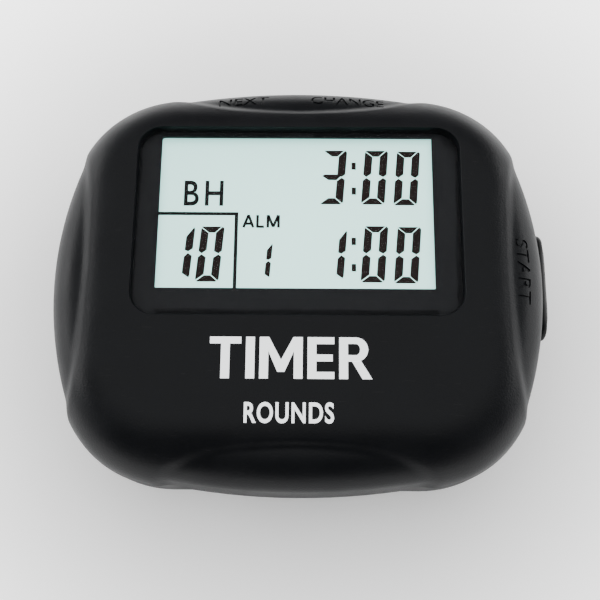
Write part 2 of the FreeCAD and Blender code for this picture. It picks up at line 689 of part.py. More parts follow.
def make_board():
    """Main board with its screws, chip, crystal and small parts."""
    outline = [("-1 * board_x", "board_low_y"), ("board_x", "board_low_y"), ("board_x", "-4"),
               ("board_right_x", "-3"), ("board_right_x", "4.4"), ("board_x", "5.4"),
               ("board_x", "12.8"), ("22.8", "14.2"), ("22.8", "20.4"), ("16", "board_high_y"),
               ("-16", "board_high_y"), ("-22.8", "20.4"), ("-22.8", "14.2"), ("-1 * board_x", "12.8")]
    blank = polygon_body("board_blank", "XY_Plane", outline, "board_thick", lift="board_z")
    holes = [rod(f"board_hole{index}", "z", "1.0", "4", x, y, "board_z - 1")
             for index, (x, y) in enumerate(BOARD_SCREWS)]
    node("main_board", cut("main_board", blank, *holes))
    screws = []
    for index, (x, y) in enumerate(BOARD_SCREWS):
        head = puck(f"board_screw_head{index}", "1.5", "1.0", "0.4", x, y, "board_z - 1.0",
                    end="low")
        shank = rod(f"board_screw_shank{index}", "z", "pilot_r", "4.6", x, y, "board_z - 0.5")
        screws.append(fuse(f"board_screw{index}", head, shank))
    node("board_screws", group("board_screws", screws))
    down = Rotation(Vector(1, 0, 0), 180)
    node("chip_cover", puck("chip_cover", "4.5", "1.2", "1.0", "8", "6", "board_z", turn=down))
    can = puck("crystal_can", "1.0", "6.0", "0.3", "4", "-3.4", "board_z - 1.05",
               turn=AXIS_TURN["x"], end="low")
    node("crystal", can)
    part_long = 1.6
    part_high = 0.6
    rows = [("resistor", 4, 12.6, 1.9, 13.0, 0.8), ("capacitor", 3, 6.0, 2.6, 17.0, 1.25)]
    parts = [box(f"{kind}{index}", (first_x + pitch * index, first_x + pitch * index + width),
                 (y, y + part_long), (f"board_z - {part_high}", "board_z"))
             for kind, count, first_x, pitch, y, width in rows for index in range(count)]
    node("board_components", group("board_components", parts))


# ---- rear half ---------------------------------------------------------------

def case_ears():
    """Two ears on the back that hold the clip's pin."""
    margin = 0.6
    ears = []
    for index, low in enumerate(("-1 * ( clip_x + ear_gap + ear_thick )", "clip_x + ear_gap")):
        span = (low, f"{low} + ear_thick")
        ears.append(box(f"rear_ear_block{index}", span, around("pivot_y", f"lug_r + {margin}"),
                        ("pivot_z", "back_z + 0.5")))
        ears.append(rod(f"rear_ear_round{index}", "x", "lug_r + 0.1", "ear_thick", low, "pivot_y",
                        "pivot_z"))
    return ears


def make_rear_case():
    """Rear half: back shell with battery tray, door rails, screw tubes and clip ears."""
    outer = rear_form("rear_outer", "seam_step", "back_z")
    inner = rear_form("rear_inner", "( seam_step + wall )", "back_z + floor_wall")
    limit = rear_form("rear_limit", "( seam_step + 0.6 )", "back_z + 0.1")
    shell = cut("rear_shell", outer, inner)
    past_edge = "-1 * side_y - 2"
    deck = box("rear_deck", around("0", "rail_x + 1.5"), (past_edge, "tray_high_y + 2.8"),
               ("back_z + 0.5", "deck_z"))
    tray_outer = box("rear_tray_outer", around("0", "tray_x + tray_wall"),
                     ("tray_low_y - tray_wall", "tray_high_y + tray_wall"),
                     ("deck_z - 0.5", "split_z - 0.2"))
    tray_lower = box("rear_tray_clear", ("-30", "30"), ("tray_high_y - 0.05", "0"), ("11.8", "20"))
    tubes = [rod(f"rear_tube{index}", "z", "boss_r", "split_z - back_z - 0.3", x, y, "back_z + 0.2")
             for index, (x, y) in enumerate(CASE_SCREWS)]
    extras = common("rear_extras", fuse("rear_extra_set", deck, *tubes), limit)
    ring = cut("rear_ring",
               rod("rear_ring_outer", "z", "buzzer_r", "2", "buzzer_x", "buzzer_y", "back_z + 0.5"),
               rod("rear_ring_inner", "z", "buzzer_r - 1.2", "4", "buzzer_x", "buzzer_y", "back_z"))
    saddles = [box(f"rear_saddle{index}", (x, f"{x} + 1.2"), around("motor_y", "2.6"),
                   ("deck_z - 0.5", "motor_z")) for index, x in enumerate(("-4.5", "2.3"))]
    solid = fuse("rear_solid", shell, extras, cut("rear_tray", tray_outer, tray_lower), ring,
                 *saddles, *case_ears())
    battery_room = box("rear_battery_room", around("0", "tray_x"), ("tray_low_y", "tray_high_y"),
                       ("back_z - 1", "split_z + 3"))
    door_slot = box("rear_door_slot", around("0", "door_x + door_gap"),
                    (past_edge, "door_high_y + door_gap"),
                    ("back_z - 1", "back_z + door_thick + door_gap"))
    rails = box("rear_rails", around("0", "rail_x + door_gap"),
                (past_edge, "door_high_y + door_gap"),
                ("back_z + door_thick - rail_thick - 0.15", "back_z + door_thick + door_gap"))
    can_room = rod("rear_can_room", "x", "motor_r + 0.03", "20", "-10", "motor_y", "motor_z")
    holes = [rod(f"rear_screw_hole{index}", "z", "screw_r + 0.2", "12", x, y, "back_z - 1")
             for index, (x, y) in enumerate(CASE_SCREWS)]
    heads = [rod(f"rear_head_hole{index}", "z", "screw_head_r + 0.25", "4.2", x, y, "back_z - 1")
             for index, (x, y) in enumerate(CASE_SCREWS)]
    pin_end = "clip_x + ear_gap + ear_thick"
    pin_hole = rod("rear_pin_hole", "x", "pin_r", f"2 * ( {pin_end} ) + 2", f"-1 * ( {pin_end} ) - 1",
                   "pivot_y", "pivot_z")
    sound = [box(f"rear_sound{index}", ("buzzer_x - 4", "buzzer_x - 4 + sound_long"),
                 around(f"buzzer_y + {index - 1} * sound_pitch", "sound_wide / 2"),
                 ("back_z - 1", "back_z + 3")) for index in range(3)]
    tools = [battery_room, door_slot, rails, can_room, pin_hole] + holes + heads + sound
    tools += button_openings("rear") + flange_pockets("rear")
    node("rear_case", cut("rear_case", solid, *tools))


def make_case_screws():
    """Four slotted screws that hold the halves together."""
    screws = []
    for index, (x, y) in enumerate(CASE_SCREWS):
        head = puck(f"case_screw_head{index}", "screw_head_r", "1.3", "0.5", x, y, "back_z + 1.9",
                    end="low")
        shank = rod(f"case_screw_shank{index}", "z", "screw_r", "8.6", x, y, "back_z + 2.6")
        slot = box(f"case_screw_slot{index}", around(x, "1.1"), around(y, "0.25"),
                   ("back_z", "back_z + 2.5"))
        screws.append(cut(f"case_screw{index}", fuse(f"case_screw{index}", head, shank), slot))
    node("case_screws", group("case_screws", screws))


def make_battery_door():
    """Sliding door with two side tongues and four finger grooves."""
    past_edge = "-1 * side_y - 2"
    form = rear_form("door_limit", "seam_step", "back_z")
    plate = box("door_plate", around("0", "door_x"), (past_edge, "door_high_y"),
                ("back_z - 1", "back_z + door_thick"))
    tongues = box("door_tongues", around("0", "rail_x"), (past_edge, "door_high_y"),
                  ("back_z + door_thick - rail_thick", "back_z + door_thick"))
    grips = [box(f"door_grip{index}", around("0", "grip_long / 2"),
                 (f"grip_first_y + {index} * grip_pitch",
                  f"grip_first_y + {index} * grip_pitch + grip_wide"),
                 ("back_z - 1", "back_z + 0.35")) for index in range(4)]
    door = common("door", fuse("door_solid", plate, tongues), form)
    node("battery_door", cut("battery_door", door, *grips))


# ---- battery, sounder and motor ----------------------------------------------

def make_battery():
    """AAA cell: filled can with its cap and printed jacket, and the two contacts."""
    start = "battery_left_x"
    cap_long = 1.0
    can_long = f"battery_long - {cap_long}"
    core = ("x", "battery_r - 0.4", f"{can_long} - 0.8", f"{start} + 0.4", "battery_y", "battery_z")
    body = rod("battery_body", "x", "battery_r - 0.1", can_long, start, "battery_y", "battery_z")
    node("battery_can", cut("battery_can", body, rod("battery_room", *core)))
    node("battery_core", rod("battery_core", *core))
    node("battery_cap", puck("battery_cap", "1.9", cap_long, "0.4", f"{start} + {can_long}",
                             "battery_y", "battery_z", turn=AXIS_TURN["x"]))
    sleeve = rod("battery_sleeve", "x", "battery_r", f"{can_long} - 1.2", f"{start} + 0.6",
                 "battery_y", "battery_z")
    sleeve_room = rod("battery_sleeve_room", "x", "battery_r - 0.1", "60", f"{start} - 5",
                      "battery_y", "battery_z")
    node("battery_jacket", cut("battery_jacket", sleeve, sleeve_room))
    far_end = "battery_left_x + battery_long"
    dimple = rod("battery_plus_dimple", "x", "2.2", f"tray_x - contact_thick - ( {far_end} )",
                 far_end, "battery_y", "battery_z")
    for name, low, extra in (("battery_minus_contact", "-1 * tray_x + 0.1", []),
                             ("battery_plus_contact", "tray_x - 0.1 - contact_thick", [dimple])):
        span = (low, f"{low} + contact_thick")
        plate = box(name + "_plate", span, around("battery_y", "contact_half"),
                    ("deck_z + 0.2", "split_z + 3.2"))
        tab = box(name + "_tab", span, ("battery_y + 4", "door_high_y - 0.2"),
                  (BOARD_TOP, f"{BOARD_TOP} + 1.4"))
        node(name, fuse(name, plate, tab, *extra))
    turns = coil("battery_spring", 2.3, 0.3, 0.95, 2.0, "battery_left_x - 0.36", "battery_y",
                 "battery_z", turn=AXIS_TURN["x"], cone=-18)
    node("battery_spring", turns)


def make_sounder():
    """Piezo disc over the sound slots, with two spring contacts up to the board."""
    base = "back_z + 2.5"
    disc_thick = 0.25
    node("buzzer_disc", rod("buzzer_disc", "z", "buzzer_r - 0.3", disc_thick, "buzzer_x",
                            "buzzer_y", base))
    node("buzzer_ceramic", rod("buzzer_ceramic", "z", "7", "0.2", "buzzer_x", "buzzer_y",
                               f"{base} + {disc_thick}"))
    inner = coil("contact_coil_a", 0.8, 0.15, 0.62, 1.85, "buzzer_x", "buzzer_y", f"{base} + 0.65")
    outer = coil("contact_coil_b", 0.8, 0.15, 0.66, 2.0, "buzzer_x + 8.2", "buzzer_y - 1",
                 f"{base} + 0.45")
    node("buzzer_springs", group("buzzer_springs", [inner, outer]))


def make_motor():
    """Cylindrical vibration motor with an off-centre weight and two leads."""
    can = puck("motor_can_body", "motor_r", "motor_long", "0.4", "motor_left_x", "motor_y", "motor_z",
               turn=AXIS_TURN["x"], end="low")
    bore = rod("motor_bore", "x", "shaft_r + 0.06", "8", "motor_left_x + 4", "motor_y", "motor_z")
    node("motor_can", cut("motor_can", can, bore))
    node("motor_shaft", rod("motor_shaft", "x", "shaft_r", "11", "motor_left_x + 4.4", "motor_y",
                            "motor_z"))
    start = "motor_left_x + motor_long + 0.6"
    disc = rod("weight_disc", "x", "weight_r", "weight_long", start, "motor_y", "motor_z")
    waist = box("weight_cut", (f"{start} - 1", f"{start} + weight_long + 1"), around("motor_y", "4"),
                ("motor_z + 0.75", "motor_z + 4"))
    hub = rod("weight_hub", "x", "1.0", "weight_long", start, "motor_y", "motor_z")
    hole = rod("weight_hole", "x", "shaft_r", "8", f"{start} - 2", "motor_y", "motor_z")
    weight = fuse("weight", cut("weight", disc, waist), hub)
    node("eccentric_weight", cut("eccentric_weight", weight, hole))
    left = value("motor_left_x - 0.05")
    axis_y = value("motor_y")
    axis_z = value("motor_z")
    top = value(BOARD_TOP)
    for name, shift in (("motor_wire_red", 0.6), ("motor_wire_black", -0.6)):
        route = [
            (left, axis_y + shift, axis_z),
            (left - 3.5, axis_y + shift, axis_z + 0.4),
            (left - 6.2, axis_y + 1.4 + shift, axis_z + 5.6),
            (left - 15.0, -16.0 + shift, 20.4),
            (-26.9 + 0.5 * shift, -11.4 + shift, 17.6),
            (-26.6 + shift, -5.6, top + 0.6),
        ]
        node(name, tube_path(name, value("wire_r"), route))


# ---- belt clip ---------------------------------------------------------------

def make_clip():
    """Sprung belt clip with thumb grooves, its pin and its torsion spring."""
    plate = rounded_block("clip_plate", ("-1 * clip_x", "clip_x"), ("clip_low_y", "clip_high_y"),
                          ("0", "clip_thick"), "4", rims=[("low", "0.6")])
    tip = polygon_body("clip_tip", "YZ_Plane",
                       [("clip_low_y + 0.6", "0.8"), ("clip_low_y + 4.6", "0.8"),
                        ("clip_low_y + 4.6", "clip_thick"), ("clip_low_y + 3.2", "3.6"),
                        ("clip_low_y + 2.6", "clip_tip_z"), ("clip_low_y + 1.4", "clip_tip_z"),
                        ("clip_low_y + 0.6", "clip_tip_z - 1.4")], "2 * ( clip_x - 2.6 )",
                       midplane=True)
    lug_wide = 2
    lugs = []
    for index, low in enumerate(("-1 * clip_x", f"clip_x - {lug_wide}")):
        lugs.append(rod(f"clip_lug{index}", "x", "lug_r", lug_wide, low, "pivot_y", "pivot_z"))
        lugs.append(box(f"clip_web{index}", (low, f"{low} + {lug_wide}"), around("pivot_y", "lug_r"),
                        ("clip_thick - 0.5", "pivot_z")))
    solid = fuse("clip_solid", plate, tip, *lugs)
    hole = rod("clip_hole", "x", "pin_r + pin_clear", "2 * clip_x + 2", "-1 * clip_x - 1", "pivot_y",
               "pivot_z")
    grooves = [box(f"clip_groove{index}", around("0", "groove_long / 2"),
                   (f"groove_first_y + {index} * groove_pitch",
                    f"groove_first_y + {index} * groove_pitch + groove_wide"),
                   ("-1", "groove_deep")) for index in range(4)]
    node("belt_clip", cut("belt_clip", solid, hole, *grooves))
    ends = "clip_x + ear_gap + ear_thick"
    node("clip_pin", rod("clip_pin", "x", "pin_r", f"2 * ( {ends} )", f"-1 * ( {ends} )", "pivot_y",
                         "pivot_z"))
    wound = coil("clip_coil", 1.45, 0.25, 0.75, 6.0, "-3", "pivot_y", "pivot_z", turn=AXIS_TURN["x"])
    case_leg = rod("clip_case_leg", "y", "0.25", "7", "3", "pivot_y - 7", "pivot_z + 1.45")
    plate_leg = rod("clip_plate_leg", "y", "0.25", "7", "-3", "pivot_y - 7", "pivot_z - 1.45")
    node("clip_spring", fuse("clip_spring", wound, case_leg, plate_leg))


make_front_case()
make_display()
make_board()
make_rear_case()
make_case_screws()
make_battery_door()
make_battery()
make_sounder()
make_motor()
make_clip()
doc.recompute()

# ---- checks and files --------------------------------------------------------

problems = []
for thing in doc.Objects:
    if any(word in ("Invalid", "Error") for word in thing.State):
        problems.append(f"{thing.Name}: {thing.State}")
for name, thing in NODES.items():
    if thing.Shape.isNull() or not thing.Shape.isValid() or thing.Shape.Volume <= 0:
        problems.append(f"{name}: no sound solid")
if problems:
    raise SystemExit("\n".join(problems))

os.makedirs("parts", exist_ok=True)
for name, thing in NODES.items():
    thing.Shape.exportStep(f"parts/{name}.step")
    frame = thing.Shape.BoundBox
    print(f"{name:24s} {len(thing.Shape.Solids)} solids {thing.Shape.Volume:9.2f} mm3 "
          f"x {frame.XMin:7.2f} {frame.XMax:7.2f} y {frame.YMin:7.2f} {frame.YMax:7.2f} "
          f"z {frame.ZMin:6.2f} {frame.ZMax:6.2f}")
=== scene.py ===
"""Looks of the gym round timer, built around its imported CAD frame. Metres, +Z out of the display."""
import json
import math

import bmesh
import bpy
import numpy as np
from mathutils import Matrix, Vector


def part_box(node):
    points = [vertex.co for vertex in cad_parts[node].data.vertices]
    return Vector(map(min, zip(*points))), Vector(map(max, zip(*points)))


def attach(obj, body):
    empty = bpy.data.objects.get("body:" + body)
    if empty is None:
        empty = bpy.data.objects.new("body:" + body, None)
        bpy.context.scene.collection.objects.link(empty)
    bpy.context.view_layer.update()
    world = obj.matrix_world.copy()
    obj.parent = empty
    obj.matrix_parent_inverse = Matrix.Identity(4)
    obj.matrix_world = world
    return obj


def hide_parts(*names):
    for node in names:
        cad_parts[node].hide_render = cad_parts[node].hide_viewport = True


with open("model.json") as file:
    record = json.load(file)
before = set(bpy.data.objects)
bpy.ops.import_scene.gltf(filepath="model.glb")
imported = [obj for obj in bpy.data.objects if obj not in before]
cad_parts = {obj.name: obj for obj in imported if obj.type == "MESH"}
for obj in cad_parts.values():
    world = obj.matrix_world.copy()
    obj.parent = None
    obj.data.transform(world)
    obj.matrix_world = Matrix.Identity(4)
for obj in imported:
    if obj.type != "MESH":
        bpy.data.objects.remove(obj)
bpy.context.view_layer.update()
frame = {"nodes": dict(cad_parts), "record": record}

MM = 0.001
SCENE = bpy.context.scene

# ---- sizes, millimetres ------------------------------------------------------

CASE_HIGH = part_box("front_case")[1] / MM
LENS_LOW, LENS_HIGH = (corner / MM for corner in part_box("display_window"))
PLATEAU_Z = CASE_HIGH.z
CROWN_UP = 8.8                       # plateau above the joint of the two halves
SPLIT_Z = PLATEAU_Z - CROWN_UP
SIDE_X = CASE_HIGH.x
SIDE_Y = CASE_HIGH.y
WALL = 1.6
LEDGE_UP = LENS_LOW.z - 1.0 - SPLIT_Z
PRINT_THICK = 0.02                   # white ink on the plateau
BUTTON_LIP = 0.8                     # flange of a button past its face, and the flange's thickness
BUTTON_GAP = 0.2                     # clearance around a button in its opening
RIGHT_INSIDE = 28.2                  # where the openings start, behind the right and the top wall
TOP_INSIDE = 23.6
LEDGE_HALF_X = 18.85                 # opening in the ledge under the window
LEDGE_Y = (-2.85, 20.0)
LENS_CORNER = 3.1
WORD_BOLD = 0.08
WORD_SLICES = (1.3, 0.3)             # strips a word is cut into before it is wrapped

FORM = dict(
    corner_x=31.5, corner_y=27.45, corner_r=15.2, crown_up=CROWN_UP, crown_fillet=7.55,
    side_x=SIDE_X, side_y=SIDE_Y, bow_x=51.5, bow_y=92.6, side_up=7.3, side_fillet=5.1,
    panel_x=27.75, panel_y=22.85, flat_x=13.2, flat_y=13.4, splay_x=0.222, splay_y=0.586,
    knee=6.0, draft=0.12)


# ---- shape of the front half as a distance field -----------------------------

def smooth_max(a, b, soft):
    blend = np.clip(0.5 + 0.5 * (a - b) / soft, 0, 1)
    return b * (1 - blend) + a * blend + soft * blend * (1 - blend)


def smooth_min(a, b, soft):
    return -smooth_max(-a, -b, soft)


def round_rectangle(x, y, half_x, half_y, radius):
    over_x = np.abs(x) - half_x + radius
    over_y = np.abs(y) - half_y + radius
    outside = np.hypot(np.maximum(over_x, 0), np.maximum(over_y, 0))
    return np.minimum(np.maximum(over_x, over_y), 0) + outside - radius


def round_slab(outline, z, height, radius):
    """Solid of an outline up to a height, its rim rounded."""
    over_side = outline + radius
    over_top = np.abs(z) - height + radius
    outside = np.hypot(np.maximum(over_side, 0), np.maximum(over_top, 0))
    return np.minimum(np.maximum(over_side, over_top), 0) + outside - radius


def bowed_outline(x, y):
    f = FORM
    side = np.hypot(np.abs(x) - (f["side_x"] - f["bow_x"]), y) - f["bow_x"]
    top = np.hypot(x, np.abs(y) - (f["side_y"] - f["bow_y"])) - f["bow_y"]
    return smooth_max(side, top, f["knee"])


def splayed_edge(start, splay, along, flat):
    """Edge of a side panel: straight over its flat, then splaying outwards."""
    past = np.abs(along) - flat
    return start + splay * (past + np.sqrt(past * past + FORM["knee"] ** 2)) / 2


def front_distance(points):
    """Signed distance from the front half's outer surface; z is above the case joint."""
    f = FORM
    x, y, z = points[..., 0], points[..., 1], points[..., 2]
    crown = round_slab(round_rectangle(x, y, f["corner_x"], f["corner_y"], f["corner_r"]),
                       z, f["crown_up"], f["crown_fillet"])
    drop = f["draft"] * (f["crown_up"] - z)
    side_wall = np.abs(x) - splayed_edge(f["panel_x"], f["splay_x"], y, f["flat_y"]) - drop
    top_wall = np.abs(y) - splayed_edge(f["panel_y"], f["splay_y"], x, f["flat_x"]) - drop
    crown = smooth_max(smooth_max(crown, side_wall * 0.93, 0.5), top_wall * 0.93, 0.5)
    sides = round_slab(bowed_outline(x, y), z, f["side_up"], f["side_fillet"])
    return smooth_min(crown, sides, 0.8)


def cavity_distance(points):
    """Signed distance from the hollow inside the front half, flat under the window's ledge."""
    return np.maximum(front_distance(points) + WALL, points[..., 2] - LEDGE_UP)


def gradient(distance, points, step=0.02):
    """Unit gradient of a distance field."""
    slopes = []
    for axis in range(3):
        shift = np.zeros(3)
        shift[axis] = step
        slopes.append(distance(points + shift) - distance(points - shift))
    slopes = np.stack(slopes, -1)
    return slopes / np.maximum(np.linalg.norm(slopes, axis=-1, keepdims=True), 1e-9)


def march(distance, azimuths, elevations):
    """Grid of surface points seen from the middle of the case joint, rows by elevation."""
    az, el = np.meshgrid(azimuths, elevations)
    rays = np.stack([np.cos(el) * np.cos(az), np.cos(el) * np.sin(az), np.sin(el)], -1)
    reach = np.full(az.shape, 60.0)
    for _ in range(60):
        reach = reach - distance(rays * reach[..., None]) * 0.9
    return rays * reach[..., None]


# ---- mesh helpers ------------------------------------------------------------

def add_object(name, vertices, faces):
    """Mesh object from millimetre vertices in the part's frame."""
    mesh = bpy.data.meshes.new(name)
    mesh.from_pydata([tuple(c * MM for c in v) for v in vertices], [], faces)
    mesh.update()
    piece = bpy.data.objects.new(name, mesh)
    SCENE.collection.objects.link(piece)
    return piece


def rounded_loop(centre, half, radius, steps=10):
    """Corner-rounded rectangle in a plane, anticlockwise."""
    points = []
    for sx, sy, start in ((1, 1, 0), (-1, 1, 90), (-1, -1, 180), (1, -1, 270)):
        for k in range(steps + 1):
            angle = math.radians(start + 90 * k / steps)
            points.append((centre[0] + sx * (half[0] - radius) + radius * math.cos(angle),
                           centre[1] + sy * (half[1] - radius) + radius * math.sin(angle)))
    return points


def loft(loops):
    """Faces and vertices of a closed solid through equal loops of 3-D points."""
    count = len(loops[0])
    vertices = [point for loop in loops for point in loop]
    faces = [tuple(reversed(range(count)))]
    for level in range(len(loops) - 1):
        for k in range(count):
            a = level * count + k
            b = level * count + (k + 1) % count
            faces.append((a, b, b + count, a + count))
    faces.append(tuple(range((len(loops) - 1) * count, len(loops) * count)))
    return vertices, faces


def levels_radius(radius, half_a, half_b, levels):
    """Corner radius that keeps the rim even as the section shrinks."""
    widest = max(level[1] for level in levels)
    return max(0.02, min(radius - (widest - half_a), half_a - 1e-3, half_b - 1e-3))


def lofted(name, levels, centre, radius, steps=10, axis="z"):
    """Solid whose section is a rounded rectangle; levels are (place, half_a, half_b)."""
    loops = []
    for place, half_a, half_b in levels:
        shrink = levels_radius(radius, half_a, half_b, levels)
        flat = rounded_loop(centre, (half_a, half_b), shrink, steps)
        if axis == "z":
            loops.append([(a, b, place) for a, b in flat])
        elif axis == "x":
            loops.append([(place, a, b) for a, b in flat])
        else:
            loops.append([(a, place, b) for a, b in flat][::-1])
    vertices, faces = loft(loops)
    return add_object(name, vertices, faces)


def apply_modifiers(piece):
    graph = bpy.context.evaluated_depsgraph_get()
    mesh = bpy.data.meshes.new_from_object(piece.evaluated_get(graph))
    piece.modifiers.clear()
    piece.data = mesh


def carve(piece, cutter):
    """Cut one closed mesh out of another."""
    step = piece.modifiers.new("carve", "BOOLEAN")
    step.operation = "DIFFERENCE"
    step.solver = "EXACT"
    step.object = cutter
    apply_modifiers(piece)
    bpy.data.objects.remove(cutter)


def outward(piece):
    builder = bmesh.new()
    builder.from_mesh(piece.data)
    bmesh.ops.recalc_face_normals(builder, faces=builder.faces)
    builder.to_mesh(piece.data)
    builder.free()


def smooth(piece, angle=30):
    piece.data.shade_smooth()
    piece.data.set_sharp_from_angle(angle=math.radians(angle))


def finish_piece(piece, material, body, replaced=()):
    piece.data.materials.clear()
    piece.data.materials.append(material)
    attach(piece, body)
    if replaced:
        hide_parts(*replaced)


# ---- lettering ---------------------------------------------------------------

def letters(text, height, width, depth, bold=0.0, spacing=1.0):
    """Flat text mesh scaled to a cap height and a length, its base line on y = 0."""
    curve = bpy.data.curves.new("letters", "FONT")
    curve.body = text
    curve.size = 10
    curve.extrude = 0.5
    curve.offset = bold
    curve.space_character = spacing
    curve.resolution_u = 5
    source = bpy.data.objects.new("letters", curve)
    SCENE.collection.objects.link(source)
    bpy.context.view_layer.update()
    graph = bpy.context.evaluated_depsgraph_get()
    mesh = bpy.data.meshes.new_from_object(source.evaluated_get(graph))
    bpy.data.objects.remove(source)
    builder = bmesh.new()
    builder.from_mesh(mesh)
    bmesh.ops.remove_doubles(builder, verts=builder.verts, dist=1e-5)
    xs = [v.co.x for v in builder.verts]
    ys = [v.co.y for v in builder.verts]
    for v in builder.verts:
        v.co.x = (v.co.x - min(xs)) / (max(xs) - min(xs)) * width
        v.co.y = (v.co.y - min(ys)) / (max(ys) - min(ys)) * height
        v.co.z = v.co.z * depth
    bmesh.ops.triangulate(builder, faces=builder.faces)
    builder.verts.ensure_lookup_table()
    vertices = np.array([v.co[:] for v in builder.verts])
    faces = [tuple(v.index for v in f.verts) for f in builder.faces]
    builder.free()
    return vertices, faces


def dense_letters(text, height, width, depth, bold, step):
    """Letters sliced into strips no wider than a step, so that they can be wrapped."""
    vertices, faces = letters(text, height, width, depth, bold)
    builder = bmesh.new()
    for v in vertices:
        builder.verts.new(v)
    builder.verts.ensure_lookup_table()
    for f in faces:
        builder.faces.new([builder.verts[i] for i in f])
    for axis, length in ((0, width), (1, height)):
        side = Vector((1, 0, 0)) if axis == 0 else Vector((0, 1, 0))
        slices = int(length / step[axis])
        for k in range(1, slices):
            whole = builder.verts[:] + builder.edges[:] + builder.faces[:]
            bmesh.ops.bisect_plane(builder, geom=whole, dist=1e-5, plane_no=side,
                                   plane_co=side * (length * (k + 0.137) / slices))
    bmesh.ops.triangulate(builder, faces=builder.faces)
    builder.verts.ensure_lookup_table()
    builder.verts.index_update()
    vertices = np.array([v.co[:] for v in builder.verts])
    faces = [tuple(v.index for v in f.verts) for f in builder.faces]
    builder.free()
    return vertices, faces


def wrapped_word(text, height, width, along, start, lean, cut_depth):
    """Cutter for a word sunk into a bowed side. along is "x" for the top, "y" for the right."""
    vertices, faces = dense_letters(text, height, width, 2 * cut_depth, WORD_BOLD, WORD_SLICES)
    radius = FORM["side_fillet"]
    centre_z = SPLIT_Z + FORM["side_up"] - radius
    placed = []
    for u, v, w in vertices:
        angle = lean - v / radius
        out = (radius + w) * math.cos(angle)
        up = centre_z + (radius + w) * math.sin(angle)
        if along == "x":
            x = start + u
            rim = SIDE_Y - FORM["bow_y"] + math.sqrt(FORM["bow_y"] ** 2 - x * x)
            placed.append((x, rim - radius + out, up))
        else:
            y = start - u
            rim = SIDE_X - FORM["bow_x"] + math.sqrt(FORM["bow_x"] ** 2 - y * y)
            placed.append((rim - radius + out, y, up))
    word = add_object("cut_" + text, placed, faces)
    outward(word)
    return word


# ---- materials ---------------------------------------------------------------

def new_material(name):
    material = bpy.data.materials.new(name)
    material.use_nodes = True
    tree = material.node_tree
    shader = tree.nodes["Principled BSDF"]
    place = tree.nodes.new("ShaderNodeTexCoord")
    return material, tree, shader, place


def noise(tree, place, scale, detail=3.0, rough=0.55):
    node = tree.nodes.new("ShaderNodeTexNoise")
    node.inputs["Scale"].default_value = scale
    node.inputs["Detail"].default_value = detail
    node.inputs["Roughness"].default_value = rough
    tree.links.new(place.outputs["Object"], node.inputs["Vector"])
    return node


def spread(tree, source, low, high, lower=0.35, upper=0.65):
    """Map a texture's middle range onto a range of values."""
    node = tree.nodes.new("ShaderNodeMapRange")
    node.inputs["From Min"].default_value = lower
    node.inputs["From Max"].default_value = upper
    node.inputs["To Min"].default_value = low
    node.inputs["To Max"].default_value = high
    tree.links.new(source, node.inputs["Value"])
    return node


def tint(tree, source, dark, light):
    """Colour that runs between two with a texture."""
    ramp = tree.nodes.new("ShaderNodeValToRGB")
    ramp.color_ramp.elements[0].position = 0.35
    ramp.color_ramp.elements[1].position = 0.65
    ramp.color_ramp.elements[0].color = (*dark, 1)
    ramp.color_ramp.elements[1].color = (*light, 1)
    tree.links.new(source, ramp.inputs["Fac"])
    return ramp


def bump(tree, source, distance):
    node = tree.nodes.new("ShaderNodeBump")
    node.inputs["Strength"].default_value = 1.0
    node.inputs["Distance"].default_value = distance
    tree.links.new(source, node.inputs["Height"])
    return node


def scuffs(tree, place, along=(420.0, 5200.0, 2600.0)):
    """Sparse fine scratches: the peaks of a stretched noise."""
    stretch = tree.nodes.new("ShaderNodeMapping")
    stretch.inputs["Scale"].default_value = along
    stretch.inputs["Rotation"].default_value = (0.2, 0.3, 0.6)
    tree.links.new(place.outputs["Object"], stretch.inputs["Vector"])
    streak = tree.nodes.new("ShaderNodeTexNoise")
    streak.inputs["Scale"].default_value = 1.0
    streak.inputs["Detail"].default_value = 2.0
    tree.links.new(stretch.outputs["Vector"], streak.inputs["Vector"])
    return spread(tree, streak.outputs["Fac"], 0.0, 1.0, 0.70, 0.76)


def surface(name, dark, light, rough, grain=4000.0, relief=0.0, metal=0.0, specular=0.5, worn=None,
            painted_emission=None):
    """Moulded, painted or metal finish: colour cloud, roughness cloud, fine relief and scuffs, and an
    optional emission that paints light onto a part as if it were lit.
    """
    material, tree, shader, place = new_material(name)
    cloud = noise(tree, place, 160.0, 4.0)
    colour = tint(tree, cloud.outputs["Fac"], dark, light)
    output = colour.outputs["Color"]
    if worn:
        mix = tree.nodes.new("ShaderNodeMix")
        mix.data_type = "RGBA"
        tree.links.new(scuffs(tree, place).outputs["Result"], mix.inputs["Factor"])
        tree.links.new(output, mix.inputs["A"])
        mix.inputs["B"].default_value = (*worn, 1)
        output = mix.outputs["Result"]
    tree.links.new(output, shader.inputs["Base Color"])
    roughness = spread(tree, cloud.outputs["Fac"], rough[0], rough[1])
    tree.links.new(roughness.outputs["Result"], shader.inputs["Roughness"])
    shader.inputs["Metallic"].default_value = metal
    shader.inputs["Specular IOR Level"].default_value = specular
    # Painted light: emission that makes the part look brighter than its lamps make it.
    if painted_emission:
        shader.inputs["Emission Color"].default_value = (*painted_emission[:3], 1)
        shader.inputs["Emission Strength"].default_value = painted_emission[3]
    if relief:
        fine = noise(tree, place, grain, 2.0)
        bumps = bump(tree, fine.outputs["Fac"], relief)
        tree.links.new(bumps.outputs["Normal"], shader.inputs["Normal"])
    return material


def clear_window():
    """Clear acrylic that lets the display show and mirrors at a glance."""
    material, tree, shader, place = new_material("clear_window")
    shader.inputs["Base Color"].default_value = (0.02, 0.022, 0.024, 1)
    shader.inputs["IOR"].default_value = 1.49
    smear = noise(tree, place, 90.0, 4.0)
    haze = spread(tree, smear.outputs["Fac"], 0.030, 0.036)
    tree.links.new(haze.outputs["Result"], shader.inputs["Alpha"])
    rub = spread(tree, smear.outputs["Fac"], 0.06, 0.10)
    tree.links.new(rub.outputs["Result"], shader.inputs["Roughness"])
    return material


